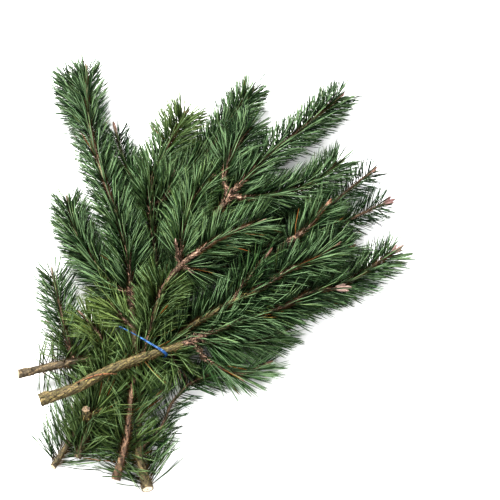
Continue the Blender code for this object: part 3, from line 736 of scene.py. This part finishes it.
BRANCHES = [
    # The tall branch at the left, with the longest leader and a twin tip
    Branch("branch_1", MOSSY, cut=(0.55, 0), fork=5,
           axis=[(12.1, -17.2, 1), (7.9, -13.3, 2.4), (4.7, -8, 3.8), (1.4, -3.7, 4.4), (-2.2, 0.6, 5.6),
                 (-5.5, 5, 7.4), (-9.5, 10, 9), (-15.5, 15, 9.5), (-22.5, 20.5, 9), (-29.5, 27, 7),
                 (-36.5, 35.5, 6)],
           wood=([(0, 8.6), (1.5, 7.2), (5, 5.6), (9, 4.6)], 4.2, 3, 1.8),
           stem=[(0.4, 7, "sparse"), (10, 17, "parted"), (13, 18, "inner"), (18, 27, "parted")],
           leader=[(0.8, 14, "dense"), (14, END, "slim")], buds=(3,), sides=[
        ("left_shoot", [FORK, (-9, 5, 6.6), (-14.5, 7, 5.6), (-19.5, 9.5, 4.6), (-25, 14, 3.6)],
         (2.6, 1.8), [(0.5, 19, "dense"), (19, END, "slim")], 2),
        ("short_shoot", [(-2.7, 1, 6.2), (-5, 1.5, 6.4), (-8, 2.6, 6), (-10.5, 4, 5.6)], (2.3, 1.8),
         [(0.5, 7, "yellow")]),
        ("twin_tip", [(-29, 26.5, 7), (-32, 28, 5), (-35.5, 30.5, 4), (-39.5, 34, 3.5)], (2.3, 1.8),
         [(1, END, "fresh")]),
        ("low_shoot", [(7.9, -13.3, 2.4), (8.9, -9.5, 1.9), (8.1, -5, 1.9), (8.4, -1.3, 2), (6.9, 0.3, 2.3)],
         (2.5, 1.8), [(1, END, "thin")]),
        ("low_fork", [(8.4, -1.3, 2), (9.4, -0.1, 2.5), (11, 2.3, 2.7)], (2, 1.7), [(0.5, END, "shade")]),
    ]),
    # The thick stem on top, with its leader to the right
    Branch("branch_2", OLIVE, cut=(0.1, 0.8), fork=5,
           axis=[(-7.2, -15.6, 7.6), (-3.9, -11.4, 7.7), (-1.2, -6.5, 7.8), (2.5, -1.2, 7.2), (5.2, 2.1, 7.2),
                 (6.7, 4.3, 7.3), (11, 10, 8.2), (15.3, 15.4, 8), (17.9, 20.1, 7.6), (20.8, 22.7, 7.2)],
           wood=([(0, 8.9), (2, 8.1), (8, 7.4), (16, 6.3)], 4.8, 3.6, 2.4), stem=[(13, 21, "wild")],
           leader=[(2.5, 9, "fresh"), (9, 20, "aside"), (20, END, "slim"), (9, 11, "dry")],
           buds=(3, 24, PALE_BUD), torn=(5.6, 11.6, (120, 0), 2.6, 3), sides=[
        ("long_shoot", [FORK, (10, 10.5, 5), (16.4, 18.7, 4.2), (21, 25.7, 3.8), (23, 29.9, 3.8),
                        (24.9, 34.3, 4)], (3.2, 2.2), [(1, 24, "pale"), (24, END, "slim")], 4, 20, PALE_BUD),
        ("under_shoot", [FORK, (10.9, 6.8, 5.4), (14, 9.9, 3.6), (16.7, 13.8, 2.8)], (2.6, 1.8),
         [(1, END, "pale")]),
        ("low_shoot", [FORK, (7.4, 3.6, 6.2), (8.9, 3.1, 5), (10.8, 3.2, 4.2), (12.9, 3.5, 3.6),
                       (15, 4.5, 3.2), (17.1, 7.7, 3)], (3, 1.8), [(3, END, "combed")], 2),
    ]),
    # Under the others, with three shoots at the right and two at the far left
    Branch("branch_3", GREYISH, cut=(0.3, 0.3), fork=6,
           axis=[(-13.8, -13.7, 3.6), (-8, -7.5, 2.8), (-3.3, -3.6, 1.8), (0.3, 0, 1.5), (5, 8, 2.4),
                 (8.5, 16, 4.4), (10, 24.5, 6.4), (11.5, 29, 7), (12, 34.5, 6.8)],
           wood=([(0, 6.8), (2, 6)], 4, 3.4, 2),
           stem=[(3, 9, "wild"), (7, 15, "inner"), (19, 41, "bright")],
           leader=[(2.5, END, "aside")], buds=(2, 15, TAN_BUD), sides=[
        ("inner_shoot", [(8.5, 16, 4.4), (7.6, 20, 3.2), (6.9, 25, 2.8), (6, 29.5, 2.6), (6.2, 33, 2.6)],
         (2.4, 1.8), [(1, END, "dense")]),
        ("upper_shoot", [FORK, (10.3, 29, 4.6), (12, 34.5, 4), (13, 39.5, 3.8), (14.7, 45.5, 3.4)],
         (2.6, 1.8), [(1.5, 11, "dense"), (11, END, "dark")], 2),
        ("lower_shoot", [FORK, (13, 29, 4.8), (15.2, 34, 3.8), (17.4, 38, 3.6), (19.5, 41.5, 3.4)],
         (2.6, 2), [(1.5, 10, "dense"), (10, END, "dark")], 5, 20, PURPLE_BUD),
        ("left_shoot", [(-8, -7.5, 2.8), (-10.2, -5.8, 3.6), (-12.6, -3.7, 4), (-16, -0.7, 3.8),
                        (-19.4, 2.4, 3.4)], (2.6, 2), [(0.5, 3.5, "stub"), (3.5, END, "faint")]),
        ("short_shoot", [(-5, -5, 2.4), (-5.4, -3.1, 4.2), (-7.6, -2, 5), (-10.6, -1.2, 5)], (2.3, 1.8),
         [(0.5, END, "yellow")]),
    ]),
    # Through the middle to the fork of three at the far side
    Branch("branch_4", DARK, cut=(0.5, 0.1), fork=7,
           axis=[(-1.6, -22, 1.2), (-1.7, -14, 1.6), (-1.2, -5, 2.7), (-0.7, 0, 3.4), (-1.2, 7, 5),
                 (-0.7, 15.5, 7.8), (-1.3, 22.5, 9), (-1.5, 26.5, 9.2), (-3.4, 28.1, 9.4), (-4.7, 30.8, 9.1),
                 (-5.3, 33.8, 8.7), (-5.6, 37, 8.2), (-5.9, 40.3, 7.6)],
           wood=([(0, 4.8), (2, 4)], 4.2, 3.4, 2),
           stem=[(0.4, 7, "sparse"), (5, 13, "parted"), (12, 20, "stub"), (22, 43, "bright"),
                 (43, 48.5, "parted")],
           leader=[(2.5, 9.5, "aside"), (9.5, END, "fresh")], buds=(3,), sides=[
        ("right_shoot", [FORK, (-1.2, 31, 8), (-0.8, 38, 6.2), (0.9, 45, 5), (3, 55, 4.2)],
         (3.2, 1.8), [(2, END, "fresh")], 2),
        ("side_shoot", [FORK, (1.4, 28.2, 8.4), (5, 32, 7.6), (8, 36.5, 6.6), (9.7, 43, 5.6)],
         (2.8, 1.8), [(1.5, END, "fresh")], 2),
        ("under_shoot", [FORK, (-1.3, 27.6, 6.8), (-2.6, 30.4, 4.6), (-3.4, 34.5, 3.8)],
         (2.6, 1.8), [(0.5, END, "dense")]),
        ("low_shoot", [(-1.3, 22.5, 9), (-2.8, 24, 6.6), (-4.6, 27.2, 4.6), (-6.6, 31, 3.8)],
         (2.4, 1.8), [(0.5, END, "dense")]),
    ]),
    # The reddish stem, with the leader that lies on top in the middle
    Branch("branch_5", REDDISH, cut=(0.35, 0.1), fork=7,
           axis=[(7.4, -18.6, 1.2), (5.9, -13.5, 3.4), (3.9, -9.2, 4.9), (2, -5.3, 5.6), (0.7, -0.5, 5.8),
                 (-0.4, 3.2, 6.8), (-1.3, 7.5, 9.4), (-0.7, 11.6, 11.2), (0.6, 15.2, 11.6), (2.5, 19.5, 11.6),
                 (5.7, 25, 10.6)],
           wood=([(0, 6.8), (2, 6), (6, 4.2), (12, 3.2)], 3.2, 3, 1.8),
           stem=[(1.5, 6, "wild"), (4, 14, "parted"), (19.5, 30, "inner")], leader=[(3, END, "aside")],
           buds=(1, 9), sides=[
        ("left_shoot", [FORK, (-4, 17.5, 10.6), (-5.8, 23, 9.8), (-5.6, 28, 9)], (2.6, 1.8),
         [(1, END, "bright")], 2),
        ("right_shoot", [FORK, (1.3, 13.5, 9.2), (3.5, 15.5, 8), (5.7, 18.4, 7.2), (7.4, 21.2, 6.8)],
         (2.4, 1.8), [(0.2, END, "dense")]),
        ("dead_twig", [FORK, (-1.7, 12.8, 12.2), (-2.8, 14, 12.8)], (1.8, 1.4), [], 1, 9, PALE_BUD),
        ("bud_twig", [FORK, (0, 11.9, 10.9), (0.9, 12.1, 10.4)], (1.6, 1.4), [], 2, 9, PALE_BUD),
    ]),
    # Cut short, and rising to the right
    Branch("branch_6", OLIVE, cut=(0.0, 1.0), fork=8,
           axis=[(-0.8, -13.1, 7.5), (-0.4, -13.7, 5.6), (0.3, -11, 4.1), (0.6, -7.5, 3.1), (0.8, -4, 2.6),
                 (2.2, 0, 3.4), (5, 6, 6.6), (8.6, 11.6, 9), (11.6, 16.6, 9.8), (13.2, 20, 10),
                 (15.2, 23.5, 9.4), (17, 28.5, 8)],
           wood=([(0, 5.6), (2, 5)], 3.4, 2.6, 1.8),
           stem=[(1, 2, "stub"), (2, 12, "inner"), (15, 19, "bright"), (19, 37, "aside")],
           leader=[(1.5, END, "fresh")], buds=(3,), sides=[
        ("side_shoot", [FORK, (12, 21, 7.2), (15.2, 25.5, 5.2), (18.5, 31, 4.2)], (2.6, 1.8),
         [(1, END, "fresh")], 2),
        ("left_shoot", [(8.6, 11.6, 9), (8.6, 14.4, 9.7), (8.9, 17.4, 9.9), (9.1, 20.5, 9.7)], (2.2, 1.7),
         [(1.5, END, "shade")], 1, 20),
        ("tie_shoot", [(2.8, 1.2, 4), (4.4, 0.9, 4), (5.8, 0.2, 3.6), (6.6, -0.4, 3.2)], (2, 1.7),
         [(0.8, END, "golden")]),
    ]),
    # Underneath, with the shoots at the far left
    Branch("branch_7", DARK, cut=(0.2, 0.6), fork=5,
           axis=[(0.8, -19, 1.6), (-0.4, -12.5, 3.2), (-2.2, -6, 3.6), (-2.7, 0, 3.7), (-4.5, 9.6, 5),
                 (-12.5, 20, 5), (-15.4, 25.6, 5.2), (-16.2, 31.2, 5.6), (-17.2, 37.5, 5.4)],
           wood=([(0, 5.4), (2, 4.6)], 4, 2.8, 1.8), stem=[(0.5, 15, "inner"), (21, 43, "bright")],
           leader=[(0.5, 10, "bright"), (10, END, "golden")], buds=(3,), sides=[
        ("right_shoot", [FORK, (-11.3, 27, 4.2), (-10.5, 36, 3.8), (-10.8, 48, 3.6)], (2.8, 1.8),
         [(1, END, "dense")], 2),
        ("left_shoot", [FORK, (-17.5, 22.5, 3.2), (-22, 25.5, 2.8), (-26.5, 29.5, 2.8)], (2.4, 1.8),
         [(1, 10, "dense"), (10, END, "dark")], 1, 20),
        ("top_shoot", [FORK, (-10.5, 21.5, 7.2), (-11.3, 25, 8)], (2.6, 1.8), [(0.5, END, "bright")]),
    ]),
]


def build_stem_and_leader(shape, branch, x0, x1):
    """The main axis between x0 and x1 of the map: the stem's bark up to just below the fork, then the
    leader's, with rings of scales at the fork."""
    main = branch.twigs[0]
    fork = branch.fork * CM
    low = fork - BELOW_FORK
    split = low / main.length
    girth = main.radius(low / 2)
    around = round(girth * TURN / LEAF_BASE)
    tilt, weathered = branch.cut
    tube(shape, main, 0, low, branch.bark, (x0, 0.01, x1, split - 0.003), cell=LEAF_BASE * LEAF_LONG,
         around=around, depth=girth * 0.3, corners=around * 5, step=1.6 * MM, cut=tilt, weathered=weathered)
    bract_scales(shape, main, 4 * MM, low, 12, LEAF_BASE / MM * 1.1, 14, branch.bark[0])
    tube(shape, main, low - 1 * MM, main.length, TWIG, (x0, split + 0.003, x1, 0.99), **LEADER)
    bract_scales(shape, main, fork - 20 * MM, fork + 10 * MM, 50, 1.4 * main.radius(low) / MM, 42, SCALE)
    return fork


def build_wood(branch):
    """All wood of a branch as one shape. The tubes lie side by side on its map."""
    shape = Shape()
    girths = np.array([0.6 + twig.wood[0, 1] / (9 * MM) for twig in branch.twigs])
    edges = np.concatenate([[0], np.cumsum(girths)]) / girths.sum() * TUBES_WIDE
    for k, (twig, buds) in enumerate(zip(branch.twigs, branch.buds)):
        x0, x1 = edges[k] + 0.004, edges[k + 1] - 0.004
        if k == 0:
            bare = build_stem_and_leader(shape, branch, x0, x1)
        else:
            bare = 0.0
            tube(shape, twig, 0, twig.length, TWIG, (x0, 0.01, x1, 0.99), **SIDE_SHOOT)
        bract_scales(shape, twig, bare + 5 * MM, bare + 50 * MM, 26, 5.2, 36, SCALE)
        if k == 0 and branch.torn:
            torn_strip(shape, twig, *branch.torn)
        buds_at_end(shape, twig, *buds)
    return shape


def build_needles(branch, first_owner, obstacles):
    """The needles of a branch as one shape. Its twigs are numbered from first_owner among all obstacles."""
    shape = Shape()
    for k, twig in enumerate(branch.twigs):
        last = twig.length - branch.buds[k][1] / 2 * MM
        stretches = [(twig, a * CM, min(b * CM, last), style) for a, b, style in branch.stretches[k]]
        grow(shape, first_owner + k, stretches, obstacles)
    return shape


wood_materials = [bark_material(), bud_material(), cut_material()]
needles_material = needle_material()
obstacles = Obstacles([twig for branch in BRANCHES for twig in branch.twigs])
owner = 0
for branch in BRANCHES:
    nodes = [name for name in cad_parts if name.startswith(branch.name + "_")]
    wood = build_wood(branch).piece(branch.name + "_wood", wood_materials)
    needles = build_needles(branch, owner, obstacles).piece(branch.name + "_needles", [needles_material])
    owner += len(branch.twigs)
    for made, slot in ((wood, "bark"), (needles, "needles")):
        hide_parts(*nodes)
        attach(made, "root")


# --- tie ---

TIE_PAD = 4 * MM  # needles squeezed between the stems and the twine
TIE_THICK = 2.4 * MM
BULGE = (-39 * MM, 56 * MM, 8 * MM)  # more of them at the upper left: x, height and radius of the bulge
TWINE_WIDE = 3.6 * MM
TWINE_DEEP = 1.8 * MM
TWINE_BROAD = 1.0  # it is flattened out broadest this far round from the knot
LOOP_STEPS = 420
KNOT_ANGLE = -0.9
KNOT_RADIUS = 3.4 * MM
TAIL = 18 * MM


def ribbon(shape, line, out, wide, deep, spot, closed=False):
    """A flat twisted strand along a line. out is the way its flat side faces at each point."""
    corners = 20
    count = len(line)
    wide, deep = (np.broadcast_to(size, count)[:, None] for size in (wide, deep))
    way = unit(np.roll(line, -1, 0) - np.roll(line, 1, 0) if closed else np.gradient(line, axis=0))
    out = unit(out - way * (out * way).sum(-1, keepdims=True))
    across = np.cross(way, out)
    angle = np.arange(corners) / corners * TURN
    strands = 1 + 0.10 * np.sin(angle * 7 + np.arange(count)[:, None] * 0.12)
    squared = np.sign(np.cos(angle)) * np.abs(np.cos(angle)) ** 0.75
    x = squared * wide / 2
    y = np.sin(angle) * deep / 2 * strands
    points = line[:, None] + across[:, None] * x[..., None] + out[:, None] * y[..., None]
    lift(points, GROUND_GAP)
    parts = [tuple(part[:, ::-1] for part in skin(count, corners, spot, closed))]
    if not closed:
        ring = np.arange(corners)[None]
        disc = np.stack([np.cos(angle), np.sin(angle)], -1)[None] * 0.02
        parts.append((ring, disc + (0.95, 0.05)))
        parts.append(((ring + (count - 1) * corners)[:, ::-1], (disc + (0.95, 0.15))[:, ::-1]))
    shape.add(points, *parts, groove=np.tile(squared * 0.5 + 0.5, count))


def tie_loop():
    """The loop in the plane across the bundle, tight round what it holds: x and height of each point, and
    how far round from the knot it lies."""
    held = [(*BULGE[:2], BULGE[2] + TIE_THICK / 2)]
    for branch in BRANCHES:
        twig = branch.twigs[0]
        line = twig.line + MIDDLE
        k = np.nonzero((line[:-1, 1] < 0) & (line[1:, 1] >= 0))[0][0]
        share = -line[k, 1] / (line[k + 1, 1] - line[k, 1])
        x, _, z = line[k] + (line[k + 1] - line[k]) * share
        held.append((x, z, twig.radius(twig.run[k]) + TIE_PAD + TIE_THICK / 2))
    held = np.array(held)
    angle = KNOT_ANGLE + np.arange(LOOP_STEPS) / LOOP_STEPS * TURN
    way = np.stack([np.cos(angle), np.sin(angle)], -1)
    reach = held[:, :2] @ way.T + held[:, 2:]
    best = reach.argmax(0)
    loop = held[best, :2] + way * held[best, 2:]
    # Even steps along the loop, then its corners eased
    closed = np.vstack([loop, loop[:1]])
    run = np.concatenate([[0], np.cumsum(np.linalg.norm(np.diff(closed, axis=0), axis=1))])
    even = np.linspace(0, run[-1], LOOP_STEPS, endpoint=False)
    loop = np.stack([np.interp(even, run, closed[:, k]) for k in (0, 1)], -1)
    for _ in range(6):
        loop = (np.roll(loop, 1, 0) + loop * 2 + np.roll(loop, -1, 0)) / 4
    return loop, even / run[-1] * TURN


def build_tie():
    """The loop, two turns of twine round it as a knot, and the two cut ends of the twine."""
    shape = Shape()
    loop, run = tie_loop()
    line = np.stack([loop[:, 0], 0.9 * MM * np.sin(run * 2 + 1), loop[:, 1]], -1) - MIDDLE
    tangent = unit(np.roll(line, -1, 0) - np.roll(line, 1, 0))
    out = unit(np.cross(tangent, (0, -1.0, 0)))
    lengthwise = np.array([0, 1.0, 0])
    lean = 0.5 * np.sin(run * 3)[:, None]
    out = out * np.cos(lean) + lengthwise * np.sin(lean)
    wide = TWINE_WIDE * (1 + 0.5 * np.cos(run - TWINE_BROAD) + 0.08 * np.sin(run * 5 + 0.5))
    ribbon(shape, line, out, wide, TWINE_DEEP, (0.02, 0.02, 0.48, 0.98), closed=True)

    knot, along = line[0], tangent[0]
    outwards = unit(np.array([np.cos(KNOT_ANGLE), 0, np.sin(KNOT_ANGLE)]))
    turn = np.linspace(-0.2, 2 * TURN + 0.6, 90)[:, None]
    rise = np.linspace(-3.2, 3.2, 90)[:, None] * MM
    axis = knot + along * rise
    coil = axis + (outwards * np.cos(turn) + lengthwise * np.sin(turn)) * KNOT_RADIUS
    ribbon(shape, coil, coil - axis, 3.4 * MM, 1.5 * MM, (0.52, 0.02, 0.68, 0.98))

    t = np.linspace(0, 1, 40)[:, None]
    start = knot + outwards * 2.5 * MM
    for k, across in enumerate((-1, 1)):
        end = start + np.array([4 * MM, across * TAIL, -3 * MM])
        tail = start + (end - start) * t + outwards * (np.sin(t * math.pi) * 2.5 * MM) - UP * t ** 2 * MM
        ribbon(shape, tail, outwards + UP * 0.3, 3.6 * MM, 1.2 * MM,
               (0.72 + k * 0.1, 0.02, 0.78 + k * 0.1, 0.98))
    return shape


twine = build_tie().piece("tie_twine", [twine_material()])
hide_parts("tie")
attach(twine, "root")


# --- studio ---

FLOOR_SIZE = 160  # in m
LIGHTS = [  # name, place in m, diameter in m, and power in W
    ("key", (-1.0, 0.45, 2.25), 1.0, 142),
    ("back", (0.5, 1.6, 1.6), 1.6, 16),
    ("right", (1.4, 0.1, 2.0), 1.6, 26),
    ("front", (0.3, -1.4, 2.1), 1.6, 48),
]
LIT = Vector((0, 0, 0.05))  # where the lights aim
SKY = {"From Min": 0.02, "From Max": 0.25, "To Min": 0.8, "To Max": 0.02}  # bright at the horizon only
AZIMUTH, ELEVATION, DISTANCE = 32 * DEGREE, 66 * DEGREE, 1.5  # of the camera, from what it looks at
SEEN = Vector((0.1157, 0.0522, 0.04))


def floor_material():
    """White, and glowing away from the bundle, so that the floor is pale up to the horizon."""
    made = Nodes("light_table", 0.9)
    made.surface.inputs["Emission Color"].default_value = (1, 1, 1, 1)
    place = made.new("ShaderNodeTexCoord").outputs["Object"]
    away = made.new("ShaderNodeVectorMath", {0: place}, operation="LENGTH").outputs["Value"]
    made.put(made.between(away, 1.2, 4.0, 0.03, 0.9), made.surface.inputs["Emission Strength"])
    return made.colour((0.77, 0.77, 0.77))


half = FLOOR_SIZE / 2
floor_mesh = bpy.data.meshes.new("floor")
floor_mesh.from_pydata([(-half, -half, 0), (half, -half, 0), (half, half, 0), (-half, half, 0)], [],
                       [(0, 1, 2, 3)])
floor_mesh.materials.append(floor_material())
floor = bpy.data.objects.new("floor", floor_mesh)
floor.location.z = -0.5 * MM
bpy.context.scene.collection.objects.link(floor)

world = bpy.data.worlds.new("studio")
world.use_nodes = True
sky = world.node_tree
height = sky.nodes.new("ShaderNodeSeparateXYZ")
sky.links.new(sky.nodes.new("ShaderNodeTexCoord").outputs["Generated"], height.inputs[0])
glow = sky.nodes.new("ShaderNodeMapRange")
for key, value in SKY.items():
    glow.inputs[key].default_value = value
sky.links.new(height.outputs["Z"], glow.inputs["Value"])
sky.nodes["Background"].inputs["Color"].default_value = (1.0, 1.0, 1.0, 1)
sky.links.new(glow.outputs["Result"], sky.nodes["Background"].inputs["Strength"])
bpy.context.scene.world = world


def put_up(name, data, place, way):
    """A light or camera at a place, facing a way."""
    made = bpy.data.objects.new(name, data)
    made.location = place
    made.rotation_euler = way.to_track_quat("-Z", "Y").to_euler()
    bpy.context.scene.collection.objects.link(made)
    return made


for name, place, size, power in LIGHTS:
    light = bpy.data.lights.new(name, "AREA")
    light.shape = "DISK"
    light.size = size
    light.energy = power
    put_up(name, light, place, LIT - Vector(place))

backward = Vector((math.sin(AZIMUTH) * math.cos(ELEVATION), -math.cos(AZIMUTH) * math.cos(ELEVATION),
                   math.sin(ELEVATION)))
lens = bpy.data.cameras.new("camera")
lens.lens, lens.sensor_width = 67.5, 36
lens.clip_start, lens.clip_end = 0.05, 50
camera = put_up("camera", lens, SEEN + backward * DISTANCE, -backward)
bpy.context.scene.camera = camera
bpy.context.scene.view_settings.view_transform = "Standard"
bpy.context.scene.view_settings.look = "High Contrast"
